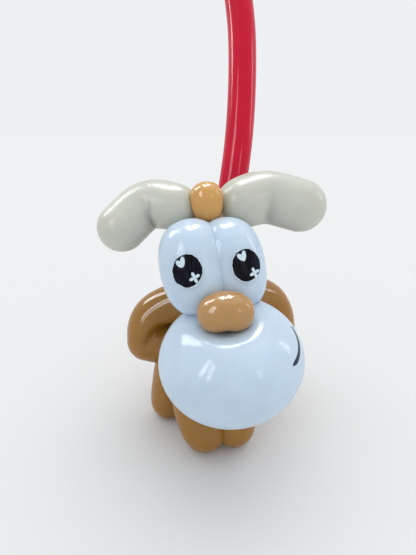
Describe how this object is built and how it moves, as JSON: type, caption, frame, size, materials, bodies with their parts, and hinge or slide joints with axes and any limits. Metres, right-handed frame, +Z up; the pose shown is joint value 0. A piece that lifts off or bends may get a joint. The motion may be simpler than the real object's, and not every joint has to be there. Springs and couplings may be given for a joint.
{
  "type": "balloon dog",
  "caption": "Twisted-balloon poodle with a big round white muzzle, floppy cream ears, sticker eyes and a stiff inflated leash.",
  "frame": {"origin": "on the floor under the middle of the whole object's box", "axes": "+Z up, the dog faces -Y, +X to the dog's left"},
  "size_m": [0.1938, 0.2484, 0.4135],
  "materials": {
    "white_latex": "glossy inflated white latex",
    "cream_latex": "glossy inflated ivory latex",
    "brown_latex": "glossy inflated mocha-brown latex",
    "tan_latex": "glossy inflated tan latex",
    "gold_latex": "glossy inflated golden-tan latex",
    "red_latex": "glossy inflated red latex",
    "printed_film": "printed self-adhesive film"
  },
  "bodies": {
    "root": {"muzzle": "white_latex", "face": "white_latex", "nose": "tan_latex", "topknot": "gold_latex", "right_ear": "cream_latex", "left_ear": "cream_latex", "body": "brown_latex", "leash": "red_latex", "right_eye_sticker": "printed_film", "left_eye_sticker": "printed_film"}
  },
  "joints": []
}
